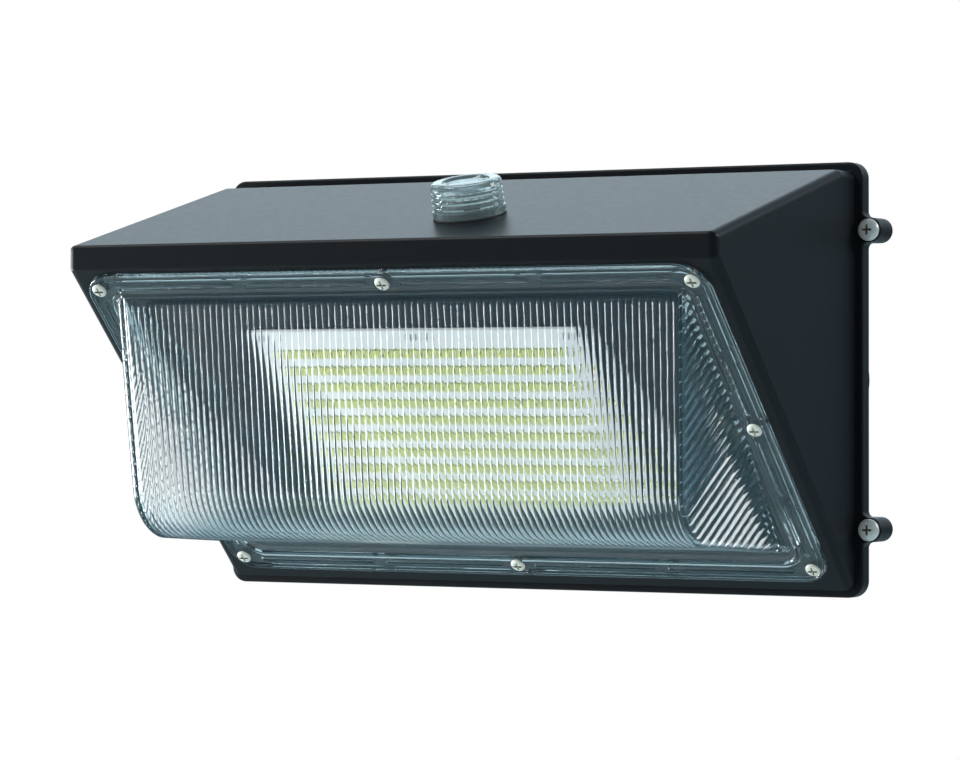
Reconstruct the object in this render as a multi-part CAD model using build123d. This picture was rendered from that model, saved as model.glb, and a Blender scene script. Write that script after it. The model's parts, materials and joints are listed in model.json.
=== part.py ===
from build123d import *
import math
import os

# LED wall pack light: a die-cast door with a ribbed clear lens, hinged on a die-cast wall box.
# Millimetres. X runs to the right seen from the front, +Y into the wall, +Z up.
# The origin is the centre of the wall bolt pattern, on the wall.
# "Out" is the distance from the wall towards the viewer, so y = -out.
# Pieces on the slanted bezel are drawn in its own frame: x right, y up the slope, z outwards,
# with the origin at the middle of the lens flange and the bezel's face at z = 0.

# --- fits ----------------------------------------------------------------------------------
thread_fit = 0.05
running_fit = 0.1
part_gap = 0.2
groove_fit = 0.1

# --- rim of the door and the wall box behind it --------------------------------------------
rim_width = 360.0
rim_height = 210.0
rim_depth = 7.7
rim_corner = 8.0
rim_edge_round = 1.0
rim_plate = 3.0
skirt_wall = 3.0
box_depth = 27.3
box_inset = 16.0
box_wall = 3.0
box_corner = 10.0
flange_fit = 0.8

# --- door shell, in side view ----------------------------------------------------------------
shell_side_step = 3.6
shell_top_step = 4.5
shell_bottom_step = 3.7
collar_depth = 16.2
lip_reach = 154.3
lip_drop = 34.7
lip_height = 12.1
foot_depth = 3.8
shell_wall = 3.0
lip_wall = 8.0
floor_wall = 4.0
side_round = 4.0
crease_round = 1.5

# --- lens flange and its seat in the bezel ---------------------------------------------------
flange_side_margin = 7.6
flange_top_margin = 3.0
flange_bottom_margin = 8.04
flange_corner = 14.0
flange_plate = 4.0
flange_proud = 2.0
recess_gap = 0.45
seal_height = 0.3
rim_bead_width = 3.0
rim_bead_height = 0.5
rim_tab_length = 4.0
rim_tab_width = 2.2
rim_tab_margin = 0.6
rim_tab_height = 0.9
rim_tab_spacing = 11.0
pocket_margin = 10.0
pocket_width = 3.2
pocket_depth = 1.0
pocket_web = 12.0
pockets_per_half = 2

# --- beads inside the pockets: margin from the flange's edge, width, height ------------------
middle_bead = (12.4, 1.0, 0.6)
foot_bead = (14.8, 1.8, 1.5)

# --- lens dome -------------------------------------------------------------------------------
dome_top_margin = 14.6
dome_bottom_margin = 20.0
dome_side_margin = 14.3
dome_front_lean = 39.0
dome_floor_lean = 42.4
dome_nose_radius = 27.0
dome_side_draft = 4.0
dome_edge_radius = 9.0
dome_wall = 2.5
front_rib_pitch = 3.54
front_rib_width = 1.3
front_rib_height = 0.8
front_rib_land = 0.1
rib_end_margin = 4.0
side_rib_pitch = 4.9
side_rib_width = 1.9
side_rib_height = 0.9
side_rib_lean = 8.4
side_rib_clear = 3.0
side_rib_root = 0.6

# --- gaskets ---------------------------------------------------------------------------------
lens_gasket_margin = 11.0
lens_gasket_width = 4.0
lens_gasket_groove = 1.2
lens_gasket_corner = 10.3
box_gasket_margin = 0.6
box_gasket_width = 5.0
box_gasket_groove = 1.0
box_gasket_height = 1.5

# --- screws: shank radius, head radius, head height ------------------------------------------
lens_screw = (2.0, 3.9, 2.4)
board_screw = (1.25, 2.2, 1.1)
driver_screw = (1.5, 2.8, 1.9)
door_screw = (2.5, 5.35, 3.4)
ground_screw_size = (2.0, 4.2, 2.8)
head_crown = 0.35
head_flat = 0.68
recess_arm = 0.16
recess_span = 0.62
recess_depth_share = 0.5
lens_screw_length = 11.0
lens_screw_side_inset = 7.2
lens_screw_corner_inset = 8.4
lens_screw_middle_inset = 6.9
lens_boss_radius = 4.6
lens_boss_cover = 2.0

# --- light engine ----------------------------------------------------------------------------
board_side_margin = 78.8
board_end_margin = 39.75
board_thickness = 1.6
board_corner = 2.0
pad_thickness = 0.3
pad_margin = 3.0
led_side_margin = 12.0
led_end_margin = 8.0
led_row_pitch = 11.14
led_column_pitch = 5.6
led_width = 3.0
led_length = 5.7
led_height = 0.8
led_corner = 0.5
led_drop = 2.0
board_screw_inset_x = 6.0
board_screw_inset_y = 4.2
board_screw_length = 5.0
floor_rib_side_margin = 22.55
floor_rib_end_margin = 20.75
floor_rib_thickness = 1.5
floor_rib_height = 1.6
floor_rib_corner = 6.0
floor_boss_radius = 3.0

# --- driver, terminal block, leads -----------------------------------------------------------
driver_length = 138.0
driver_width = 54.0
driver_height = 32.0
driver_round = 3.0
driver_fin_count = 7
driver_fin_depth = 1.2
driver_fin_width = 2.4
driver_x = -55.0
driver_y = 14.0
driver_cap_length = 9.0
driver_ear_length = 12.0
driver_ear_height = 3.0
driver_boss_height = 4.0
driver_boss_radius = 4.0
driver_screw_length = 8.0
terminal_length = 36.0
terminal_width = 22.0
terminal_height = 16.0
terminal_x = 78.0
terminal_poles = 3
terminal_mouth_radius = 3.0
terminal_mouth_depth = 9.0
terminal_clamp_radius = 2.1
terminal_clamp_depth = 4.0
lead_radius = 1.2
lead_spacing = 3.2
grommet_radius = 6.0
grommet_neck = 4.5
grommet_lip = 1.5
grommet_drop = 9.0

# --- photocell -------------------------------------------------------------------------------
photocell_x = 22.0
photocell_setback = 50.3
cap_radius = 17.7
cap_height = 16.7
cap_wall = 2.0
cap_top = 3.0
cap_window_radius = 10.8
cap_window_depth = 1.5
cap_groove_count = 4
cap_groove_depth = 0.8
cap_groove_width = 1.4
cap_groove_pitch = 2.9
cap_seal_thickness = 0.8
stem_radius = 10.0
stem_length = 14.0
sensor_base_height = 3.0
sensor_radius = 4.0
sensor_height = 3.0
tail_radius = 7.5
tail_length = 6.0
nut_across_flats = 27.0
nut_height = 5.0

# --- right-hand door screws and left-hand hinges ---------------------------------------------
lug_side_step = 3.45
lug_end_inset = 32.9
lug_radius = 6.0
lug_blend = 3.0
lug_boss_length = 7.0
door_screw_engagement = 5.0
hinge_side_step = 4.5
hinge_setback = 6.3
hinge_end_inset = 33.0
knuckle_radius = 5.0
knuckle_height = 12.0
door_knuckle_height = 6.0
knuckle_root = 1.5
pin_radius = 2.0
pin_head_radius = 3.3
pin_head_height = 1.4

# --- wall fixing and conduit entries ---------------------------------------------------------
bolt_spacing_x = 260.0
bolt_spacing_z = 110.0
bolt_hole_radius = 3.25
bolt_pad_radius = 8.0
bolt_pad_height = 1.5
box_slot_spacing = 88.9
box_slot_radius = 2.5
box_slot_length = 12.0
wire_entry_radius = 11.1
wire_collar_radius = 14.0
wire_collar_height = 3.0
entry_radius = 10.4
entry_boss_radius = 13.2
entry_boss_length = 9.0
entry_pad_height = 1.5
plug_length = 8.0
plug_head_radius = 12.6
plug_head_height = 2.6
plug_slot_width = 2.0
plug_slot_depth = 1.4
ring_radius = 12.4
ring_height = 0.8
ground_x = 60.0
ground_z = -45.0
ground_boss_radius = 5.5
ground_boss_height = 7.0
ground_screw_length = 7.0

# --- worked out from the sizes above ---------------------------------------------------------
shell_width = rim_width - 2 * shell_side_step
shell_top = rim_height / 2 - shell_top_step
shell_bottom = shell_bottom_step - rim_height / 2
lip_top = shell_top - lip_drop
rim_front = box_depth + rim_depth
collar_out = rim_front + collar_depth
lip_out = rim_front + lip_reach
foot_out = rim_front + foot_depth
lip_bottom = lip_top - lip_height
bezel_run = lip_out - foot_out
bezel_drop = lip_bottom - shell_bottom
bezel_angle = math.degrees(math.atan2(bezel_run, bezel_drop))
bezel_sin = math.sin(math.radians(bezel_angle))
bezel_cos = math.cos(math.radians(bezel_angle))
top_angle = math.degrees(math.atan2(lip_drop, lip_out - collar_out))
flange_width = shell_width - 2 * flange_side_margin
flange_height = math.hypot(bezel_run, bezel_drop) - flange_top_margin - flange_bottom_margin
lens_down = flange_top_margin + flange_height / 2
lens_out = lip_out - lens_down * bezel_sin
lens_z = lip_bottom - lens_down * bezel_cos
bezel = Plane(origin=(0, -lens_out, lens_z), x_dir=(1, 0, 0), z_dir=(0, -bezel_cos, -bezel_sin))
recess_depth = flange_plate - flange_proud + seal_height
floor_depth = recess_depth + floor_wall
flange_low = flange_proud - flange_plate
front_rib_count = 2 * int((flange_width / 2 - dome_side_margin) / front_rib_pitch) - 1
board_width = flange_width - 2 * board_side_margin
board_height = flange_height - 2 * board_end_margin
led_columns = int((board_width - 2 * led_side_margin - led_width) / led_column_pitch) + 1
led_rows = int((board_height - 2 * led_end_margin - led_length) / led_row_pitch) + 1
floor_rib_width = flange_width - 2 * floor_rib_side_margin
floor_rib_length = flange_height - 2 * floor_rib_end_margin
photocell_out = lip_out - photocell_setback
lug_x = rim_width / 2 + lug_side_step
lug_z = rim_height / 2 - lug_end_inset
lug_boss_end = box_depth - lug_boss_length
hinge_x = -rim_width / 2 - hinge_side_step
hinge_z = rim_height / 2 - hinge_end_inset
hinge_out = box_depth - hinge_setback
box_width = rim_width - 2 * box_inset
box_height = rim_height - 2 * box_inset
pocket_width_x = rim_width - 2 * skirt_wall
pocket_height_z = rim_height - 2 * skirt_wall
box_flange_width = pocket_width_x - 2 * flange_fit
box_flange_height = pocket_height_z - 2 * flange_fit
seal_out = rim_front - rim_plate
box_flange_out = seal_out - box_gasket_height
overcut = 1.0
edge_match = 0.1
drill_reach = 60.0
through = 600.0


def wall_plane(out):
    """A plane parallel to the wall, drawn as seen from the front."""
    return Plane.XZ.offset(out)


def wall_slab(width, height, corner, near, far):
    """A rounded slab parallel to the wall, between two distances from it."""
    return extrude(wall_plane(near) * RectangleRounded(width, height, corner), far - near)


def wall_disc(x, z, radius, near, far):
    """A round bar square to the wall."""
    return extrude(wall_plane(near) * Pos(x, z) * Circle(radius), far - near)


def wall_box(x_low, x_high, z_low, z_high, near, far):
    """A plain bar between two distances from the wall."""
    size = Rectangle(x_high - x_low, z_high - z_low)
    middle = Pos((x_low + x_high) / 2, (z_low + z_high) / 2)
    return extrude(wall_plane(near) * middle * size, far - near)


def bezel_slab(width, height, corner, low, high):
    """A rounded slab in the bezel's frame."""
    return Pos(0, 0, low) * extrude(RectangleRounded(width, height, corner), high - low)


def bezel_disc(x, y, radius, low, high):
    """A round bar square to the bezel, in its frame."""
    return Pos(x, y, low) * extrude(Circle(radius), high - low)


def bezel_frame_ring(width, height, corner, wall, low, high):
    """A rounded rectangular ring in the bezel's frame, its outside size given."""
    inner = RectangleRounded(width - 2 * wall, height - 2 * wall, corner - wall)
    ring = RectangleRounded(width, height, corner) - inner
    return Pos(0, 0, low) * extrude(ring, high - low)


def side_prism(points, width):
    """A prism across the light, from its side view in (out, z)."""
    outline = Plane.YZ * make_face(Polyline([(-out, z) for out, z in points], close=True))
    return extrude(outline, width / 2, both=True)


def both_signs():
    return (-1, 1)


def pan_screw(size, length):
    """A screw with a cross recess. The head sits on z = 0 and the shank runs down."""
    shank_radius, head_radius, head_height = size
    half = make_face(Polyline(
        (0, 0),
        (head_radius, 0),
        (head_radius, head_height * (1 - head_crown)),
        (head_radius * head_flat, head_height),
        (0, head_height),
        close=True))
    head = revolve(Plane.XZ * half, Axis.Z)
    span = 2 * head_radius * recess_span
    arm = 2 * head_radius * recess_arm
    deep = head_height * recess_depth_share
    cross = Rectangle(span, arm) + Rectangle(arm, span)
    recess = Pos(0, 0, head_height - deep) * extrude(cross, head_height)
    shank = Pos(0, 0, -length) * extrude(Circle(shank_radius), length + overcut / 2)
    return head - recess + shank


# --- front housing ---------------------------------------------------------------------------

def shell_outline():
    """The door shell's outer side view."""
    return [
        (seal_out, shell_top),
        (collar_out, shell_top),
        (lip_out, lip_top),
        (lip_out, lip_bottom),
        (foot_out, shell_bottom),
        (seal_out, shell_bottom),
    ]


def top_height(out, inset):
    """Height of the sloping top at a distance from the wall, let in by a wall."""
    slope = math.tan(math.radians(top_angle))
    return shell_top - (out - collar_out) * slope - inset / math.cos(math.radians(top_angle))


def bezel_height(out, inset):
    """Height of the bezel's face at a distance from the wall, let in by a wall."""
    return lip_bottom - (lip_out - out) * bezel_drop / bezel_run + inset / bezel_sin


def cavity_outline():
    """The hollow behind the shell, in side view, open to the wall box."""
    inner_top = shell_top - shell_wall
    front = lip_out - lip_wall
    slope = math.tan(math.radians(top_angle))
    knee = collar_out - (inner_top - top_height(collar_out, shell_wall)) / slope
    rear = box_depth - overcut
    return [
        (rear, inner_top),
        (knee, inner_top),
        (front, top_height(front, shell_wall)),
        (front, bezel_height(front, floor_depth)),
        (rear, bezel_height(rear, floor_depth)),
    ]


def lens_screw_points():
    """The eight lens screws, in the bezel's frame."""
    side = flange_width / 2 - lens_screw_side_inset
    corner = flange_height / 2 - lens_screw_corner_inset
    middle = flange_height / 2 - lens_screw_middle_inset
    points = [(x * side, y * corner) for x in both_signs() for y in both_signs()]
    points += [(x * side, 0) for x in both_signs()]
    points += [(0, y * middle) for y in both_signs()]
    return points


def board_screw_points():
    side = board_width / 2 - board_screw_inset_x
    end = board_height / 2 - board_screw_inset_y
    return [(x * side, y * end) for x in (-1, 0, 1) for y in both_signs()]


def driver_screw_points():
    reach = driver_length / 2 + driver_ear_length / 2
    return [(driver_x + side * reach, driver_y) for side in both_signs()]


def rim_outline():
    """The rim seen from the front, with the two screw lugs blended into its right edge."""
    outline = RectangleRounded(rim_width, rim_height, rim_corner)
    for side in both_signs():
        outline += Pos(lug_x, side * lug_z) * Circle(lug_radius)
    joins = [
        v for v in outline.vertices()
        if abs(v.X - rim_width / 2) < edge_match and abs(abs(v.Y) - lug_z) < lug_radius
    ]
    return fillet(joins, lug_blend)


def door_knuckles():
    """The door's hinge knuckles, one above and one below each knuckle of the wall box."""
    anchor = Pos(-(rim_width - knuckle_root) / 2, -(box_depth + rim_depth / 2))
    barrel = Pos(hinge_x, -hinge_out) * Circle(knuckle_radius)
    pad = anchor * Rectangle(knuckle_root, rim_depth - 2 * rim_edge_round)
    arm = make_hull(barrel.edges() + pad.edges())
    step = knuckle_height / 2 + part_gap
    knuckles = []
    for side in both_signs():
        for end in both_signs():
            low = side * hinge_z + end * (step + door_knuckle_height / 2) - door_knuckle_height / 2
            knuckle = Pos(0, 0, low) * extrude(arm, door_knuckle_height)
            bore = Pos(hinge_x, -hinge_out, low - overcut) * extrude(
                Circle(pin_radius + running_fit), door_knuckle_height + 2 * overcut)
            knuckles.append(knuckle - bore)
    return knuckles


def floor_bosses():
    """Bosses cast on the back of the bezel's floor, in the bezel's frame."""
    bosses = []
    for x, y in lens_screw_points():
        bosses.append(bezel_disc(x, y, lens_boss_radius, -lens_boss_depth(), -recess_depth - overcut))
    for x, y in driver_screw_points():
        boss = bezel_disc(x, y, driver_boss_radius, -driver_seat_depth(), -recess_depth - overcut)
        bosses.append(boss)
    return bosses


def lens_boss_depth():
    return lens_screw_length - flange_proud + lens_boss_cover


def driver_seat_depth():
    return floor_depth + driver_boss_height


def lip_creases(body):
    """The long edges above and below the lip."""
    front = body.edges().filter_by(Axis.X).group_by(Axis.Y)[0]
    return [edge for edge in front if edge.center().Z > shell_bottom]


def front_housing():
    body = side_prism(shell_outline(), shell_width)
    half = shell_width / 2
    body = fillet(lip_creases(body), crease_round)
    outline_edges = [
        e for e in body.edges()
        if abs(abs(e.center().X) - half) < edge_match and -e.center().Y > rim_front
    ]
    body = fillet(outline_edges, side_round)
    body = body - side_prism(cavity_outline(), shell_width - 2 * shell_wall)
    rim = extrude(wall_plane(box_depth) * rim_outline(), rim_depth)
    front_edges = rim.faces().sort_by(Axis.Y)[0].edges()
    rim = fillet(front_edges, rim_edge_round)
    rim -= wall_slab(
        pocket_width_x, pocket_height_z, rim_corner - skirt_wall, box_depth - overcut, seal_out)
    opening_low = bezel_height(box_depth + rim_depth / 2, floor_depth)
    rim -= wall_box(
        -half + shell_wall, half - shell_wall, opening_low, shell_top - shell_wall,
        box_depth, rim_front + overcut)
    for side in both_signs():
        rim -= wall_disc(lug_x, side * lug_z, door_screw[0] + running_fit, box_depth - overcut, through)
    body += rim
    for knuckle in door_knuckles():
        body += knuckle
    for boss in floor_bosses():
        body += bezel * boss
    body -= bezel * bezel_slab(
        flange_width + 2 * recess_gap, flange_height + 2 * recess_gap,
        flange_corner + recess_gap, -recess_depth, flange_proud)
    body -= bezel * lens_seal(-recess_depth - lens_gasket_groove, 0, groove_fit)
    body += bezel * floor_rib()
    for x, y in lens_screw_points():
        deep = flange_proud - lens_screw_length - overcut
        body -= bezel * bezel_disc(x, y, lens_screw[0] + thread_fit, deep, 0)
    for x, y in board_screw_points():
        deep = board_face() - board_screw_length - thread_fit
        body -= bezel * bezel_disc(x, y, board_screw[0] + thread_fit, deep, 0)
    for x, y in driver_screw_points():
        low = -driver_seat_depth() - overcut
        high = driver_screw_length - driver_ear_height - driver_seat_depth() + thread_fit
        body -= bezel * bezel_disc(x, y, driver_screw[0] + thread_fit, low, high)
    body -= bezel * bezel_disc(0, grommet_y(), grommet_neck, -drill_reach, 0)
    body -= top_frame() * extrude(Circle(stem_radius + running_fit), 2 * shell_wall, both=True)
    return body


def floor_rib():
    """The raised frame on the floor round the light engine, with a round boss at each side."""
    high = -recess_depth + floor_rib_height
    low = -recess_depth - overcut
    ring = bezel_frame_ring(
        floor_rib_width, floor_rib_length, floor_rib_corner, floor_rib_thickness, low, high)
    for side in both_signs():
        ring += bezel_disc(side * floor_rib_width / 2, 0, floor_boss_radius, low, high)
    return ring


def lens_seal(low, high, extra):
    """The lens gasket's ring between two heights, let out by a little for its groove."""
    width = flange_width - 2 * lens_gasket_margin + 2 * extra
    height = flange_height - 2 * lens_gasket_margin + 2 * extra
    corner = lens_gasket_corner + extra
    return bezel_frame_ring(width, height, corner, lens_gasket_width + 2 * extra, low, high)


# --- lens ------------------------------------------------------------------------------------

def dome_corners(inset, sink):
    """The dome's side view as top foot, nose and bottom foot, let in by a wall.

    The feet are taken down below the flange's face by sink.
    """
    front = math.radians(dome_front_lean)
    floor = math.radians(dome_floor_lean)
    top = flange_height / 2 - dome_top_margin - inset / math.sin(front)
    bottom = -flange_height / 2 + dome_bottom_margin + inset / math.sin(floor)
    rise = (top - bottom) * math.sin(front) * math.sin(floor) / math.sin(front + floor)
    nose = (top - rise / math.tan(front), flange_proud + rise)
    foot = flange_proud - sink
    return [
        (top + sink / math.tan(front), foot),
        nose,
        (bottom - sink / math.tan(floor), foot),
    ]


def dome_solid(inset, sink):
    """A solid of the dome's outside, or of its inside when let in by the wall."""
    top, nose, bottom = dome_corners(inset, sink)
    profile = make_face(
        FilletPolyline(top, nose, bottom, radius=dome_nose_radius - inset) + Line(bottom, top))
    solid = extrude(Plane.YZ * profile, through / 2, both=True)
    solid = solid & dome_sides(inset, sink)
    half = flange_width / 2 - dome_side_margin
    edges = [
        e for e in solid.edges()
        if abs(e.center().X) > half / 2 and e.center().Z > flange_proud - sink + edge_match
    ]
    return fillet(edges, dome_edge_radius - inset)


def dome_sides(inset, sink):
    """The wedge between the dome's two drafted side walls."""
    half = flange_width / 2 - dome_side_margin - inset
    draft = math.tan(math.radians(dome_side_draft))
    low = flange_proud - sink
    high = flange_proud + flange_height / 2
    wedge = Polyline(
        (-half - sink * draft, low),
        (half + sink * draft, low),
        (half - (high - flange_proud) * draft, high),
        (-half + (high - flange_proud) * draft, high),
        close=True)
    return extrude(Plane.XZ * make_face(wedge), through / 2, both=True)


def front_ribs():
    """The ribs that run down the front, round the nose and back along the bottom."""
    top, nose, bottom = dome_corners(0, 0)
    path = Plane.YZ * FilletPolyline(top, nose, bottom, radius=dome_nose_radius)
    lean = math.radians(dome_front_lean)
    down = Vector(0, -math.cos(lean), math.sin(lean))
    outward = Vector(0, math.sin(lean), math.cos(lean))
    section = Plane(origin=(0, top[0], top[1]), x_dir=(1, 0, 0), z_dir=down)
    sign = 1 if section.y_dir.dot(outward) > 0 else -1
    first = -(front_rib_count - 1) / 2 * front_rib_pitch
    edge = first - front_rib_pitch
    points = [(edge, -front_rib_land * sign), (edge, front_rib_land * sign)]
    for rib in range(front_rib_count):
        middle = first + rib * front_rib_pitch
        points += [
            (middle - front_rib_width / 2, front_rib_land * sign),
            (middle, front_rib_height * sign),
            (middle + front_rib_width / 2, front_rib_land * sign),
        ]
    points += [(-edge, front_rib_land * sign), (-edge, -front_rib_land * sign)]
    comb = section * make_face(Polyline(points, close=True))
    ribs = sweep(comb, path=path)
    keep = Pos(0, 0, rib_end_margin) * dome_sides(dome_edge_radius, 0)
    return ribs & keep


def side_ribs(side):
    """The slanted ribs on one side wall, square to the flange but for a small lean."""
    half = flange_width / 2 - dome_side_margin
    draft = math.radians(dome_side_draft)
    wall_normal = Vector(side * math.cos(draft), 0, math.sin(draft))
    lean = math.radians(side_rib_lean)
    rise = Vector(0, math.sin(lean), math.cos(lean))
    along = (rise - wall_normal * rise.dot(wall_normal)).normalized()
    foot = Vector(side * half, 0, flange_proud)
    across = wall_normal.cross(along)
    section = Plane(origin=foot, x_dir=across, z_dir=along)
    sign = 1 if section.y_dir.dot(wall_normal) > 0 else -1
    triangle = make_face(Polyline(
        (-side_rib_width / 2, -side_rib_root * sign),
        (0, side_rib_height * sign),
        (side_rib_width / 2, -side_rib_root * sign),
        close=True))
    reach = flange_height / 2
    count = int(reach / side_rib_pitch)
    ribs = []
    inset = dome_edge_radius + side_rib_clear
    nose_radius = dome_nose_radius - inset
    top, nose, bottom = dome_corners(inset, 0)
    region = make_face(
        FilletPolyline(top, nose, bottom, radius=nose_radius) + Line(bottom, top))
    keep = extrude(Plane.YZ * region, through / 2, both=True)
    for step in range(-count, count + 1):
        rib = extrude(section * Pos(step * side_rib_pitch, 0) * triangle, reach)
        rib = rib & keep
        if rib.volume > 0:
            ribs.append(rib)
    return ribs


def pocket_run(half_length):
    """Length of flange that the pockets on one side of the middle screw share."""
    return half_length - pocket_margin - flange_corner / 2 - pocket_web / 2


def flange_pockets():
    """The moulded pockets between the lens screws, as cutters."""
    cutters = []
    low = flange_proud - pocket_depth
    half_x, half_y = flange_width / 2, flange_height / 2
    for half_length, across, upright in (
            (half_x, half_y - pocket_margin, False),
            (half_y, half_x - pocket_margin, True)):
        run = pocket_run(half_length)
        length = run / pockets_per_half - pocket_web / 2
        for sign in both_signs():
            for number in range(pockets_per_half):
                middle = pocket_web / 2 + (2 * number + 1) * run / (2 * pockets_per_half)
                for edge in both_signs():
                    slot = SlotOverall(length, pocket_width)
                    if upright:
                        slot = Pos(edge * across, sign * middle) * Rot(0, 0, 90) * slot
                    else:
                        slot = Pos(sign * middle, edge * across) * slot
                    cutters.append(Pos(0, 0, low) * extrude(slot, pocket_depth + overcut))
    return cutters


def rim_tabs():
    """Pairs of small blocks on the outer bead, at each web between two pockets."""
    tabs = []
    low = flange_proud - overcut
    half_x, half_y = flange_width / 2, flange_height / 2
    inset = rim_tab_margin + rim_tab_width / 2
    for half_length, across, upright in ((half_x, half_y - inset, False), (half_y, half_x - inset, True)):
        web = pocket_web / 2 + pocket_run(half_length) / pockets_per_half
        for middle in (-web, 0, web):
            for step in both_signs():
                along = middle + step * rim_tab_spacing / 2
                for edge in both_signs():
                    tab = Rectangle(rim_tab_length, rim_tab_width)
                    if upright:
                        tab = Pos(edge * across, along) * Rot(0, 0, 90) * tab
                    else:
                        tab = Pos(along, edge * across) * tab
                    tabs.append(Pos(0, 0, low) * extrude(tab, overcut + rim_tab_height))
    return tabs


def lens():
    flange = bezel_slab(flange_width, flange_height, flange_corner, flange_low, flange_proud)
    flange += bezel_frame_ring(
        flange_width, flange_height, flange_corner, rim_bead_width,
        flange_proud - overcut, flange_proud + rim_bead_height)
    for tab in rim_tabs():
        flange += tab
    body = flange + dome_solid(0, overcut)
    for margin, bead_width, bead_height in (middle_bead, foot_bead):
        width = flange_width - 2 * margin
        height = flange_height - 2 * margin
        body += bezel_frame_ring(
            width, height, flange_corner, bead_width,
            flange_proud - overcut, flange_proud + bead_height)
    body -= dome_solid(dome_wall, flange_plate + overcut)
    for cutter in flange_pockets():
        body -= cutter
    for x, y in lens_screw_points():
        body -= bezel_disc(x, y, lens_screw[1] + part_gap, flange_proud, flange_proud + overcut)
        body -= bezel_disc(x, y, lens_screw[0] + part_gap, flange_low - overcut, flange_proud + overcut)
    body += front_ribs()
    for side in both_signs():
        for rib in side_ribs(side):
            body += rib
    return body


def lens_gasket():
    return lens_seal(-recess_depth - lens_gasket_groove, flange_low, 0)


def lens_screws():
    screw = pan_screw(lens_screw, lens_screw_length)
    return [Pos(x, y, flange_proud) * screw for x, y in lens_screw_points()]


# --- light engine ----------------------------------------------------------------------------

def pad_face():
    return -recess_depth + pad_thickness


def board_face():
    return pad_face() + board_thickness


def screw_holes(points, radius):
    return [bezel_disc(x, y, radius, -drill_reach, drill_reach) for x, y in points]


def grommet_y():
    return -board_height / 2 - grommet_drop


def led_board():
    board = bezel_slab(board_width, board_height, board_corner, pad_face(), board_face())
    for hole in screw_holes(board_screw_points(), board_screw[0] + part_gap):
        board -= hole
    return board


def thermal_pad():
    pad = bezel_slab(
        board_width - 2 * pad_margin, board_height - 2 * pad_margin, board_corner,
        -recess_depth, pad_face())
    for hole in screw_holes(board_screw_points(), board_screw[1] + part_gap):
        pad -= hole
    return pad


def led_packages():
    """All LED packages: upright rectangles with one cut corner, in a grid."""
    package = Rectangle(led_width, led_length)
    package = chamfer(package.vertices().sort_by(Axis.Y)[-1], led_corner)
    package = extrude(package, led_height)
    packages = []
    for row in range(led_rows):
        for column in range(led_columns):
            x = (column - (led_columns - 1) / 2) * led_column_pitch
            y = (row - (led_rows - 1) / 2) * led_row_pitch - led_drop
            packages.append(Pos(x, y, board_face()) * package)
    return packages


def board_screws():
    screw = pan_screw(board_screw, board_screw_length)
    return [Pos(x, y, board_face()) * screw for x, y in board_screw_points()]


# --- driver, terminal block, leads -----------------------------------------------------------

def driver_case():
    """The driver's extruded case with shallow grooves along its back, and a foot at each end."""
    section = RectangleRounded(driver_width, driver_height, driver_round)
    pitch = driver_width / (driver_fin_count + 1)
    for fin in range(driver_fin_count):
        offset = (fin - (driver_fin_count - 1) / 2) * pitch
        groove = Rectangle(driver_fin_width, 2 * driver_fin_depth)
        section -= Pos(offset, -driver_height / 2) * groove
    length = driver_length - 2 * driver_cap_length
    case = Plane.YZ * section
    case = extrude(case, length / 2, both=True)
    return Pos(driver_x, driver_y, -driver_seat_depth() - driver_height / 2) * case


def driver_end_cap(side):
    """A moulded end cap with its screw foot."""
    section = Plane.YZ * RectangleRounded(driver_width, driver_height, driver_round)
    block = extrude(section, driver_cap_length)
    foot_length = driver_ear_length + driver_cap_length / 2
    foot = Pos(foot_length / 2 + driver_cap_length / 2, 0) * RectangleRounded(
        foot_length, driver_ear_length, driver_round)
    foot = Pos(0, 0, driver_height / 2 - driver_ear_height) * extrude(foot, driver_ear_height)
    hole_x = driver_cap_length + driver_ear_length / 2
    hole = Circle(driver_screw[0] + part_gap)
    hole = Pos(hole_x, 0, -driver_height) * extrude(hole, 2 * driver_height)
    cap = block + foot - hole
    if side < 0:
        cap = Rot(0, 0, 180) * cap
    start = driver_x + side * (driver_length / 2 - driver_cap_length)
    return Pos(start, driver_y, -driver_seat_depth() - driver_height / 2) * cap


def driver_screws():
    screw = Rot(180, 0, 0) * pan_screw(driver_screw, driver_screw_length)
    height = -driver_seat_depth() - driver_ear_height
    return [Pos(x, y, height) * screw for x, y in driver_screw_points()]


def terminal_block():
    """A block with a row of wire mouths on each long side and a clamp opening over each."""
    low = -floor_depth - terminal_height
    block = Pos(0, 0, low) * extrude(Rectangle(terminal_length, terminal_width), terminal_height)
    pitch = terminal_length / terminal_poles
    for pole in range(terminal_poles):
        x = (pole - (terminal_poles - 1) / 2) * pitch
        for side in both_signs():
            mouth = extrude(Plane.XZ * Circle(terminal_mouth_radius), terminal_mouth_depth)
            if side > 0:
                mouth = Rot(0, 0, 180) * mouth
            start = side * terminal_width / 2
            mouth = Pos(x, start, low + terminal_height / 2) * Rot(0, 0, 180) * mouth
            block -= mouth
            clamp_y = side * (terminal_width / 2 - terminal_mouth_depth / 2)
            block -= Pos(x, clamp_y, low) * extrude(Circle(terminal_clamp_radius), terminal_clamp_depth)
    return Pos(terminal_x, driver_y, 0) * block


def lead_grommet():
    """A rubber grommet through the floor, with two lead holes."""
    lips = bezel_disc(0, 0, grommet_radius, -recess_depth, -recess_depth + grommet_lip)
    lips += bezel_disc(0, 0, grommet_radius, -floor_depth - grommet_lip, -floor_depth)
    neck = bezel_disc(
        0, 0, grommet_neck - thread_fit, -floor_depth - grommet_lip, -recess_depth + grommet_lip)
    grommet = lips + neck
    for side in both_signs():
        x = side * lead_spacing / 2
        grommet -= bezel_disc(x, 0, lead_radius + thread_fit, -drill_reach, drill_reach)
    return Pos(0, grommet_y(), 0) * grommet


# --- photocell -------------------------------------------------------------------------------

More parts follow.
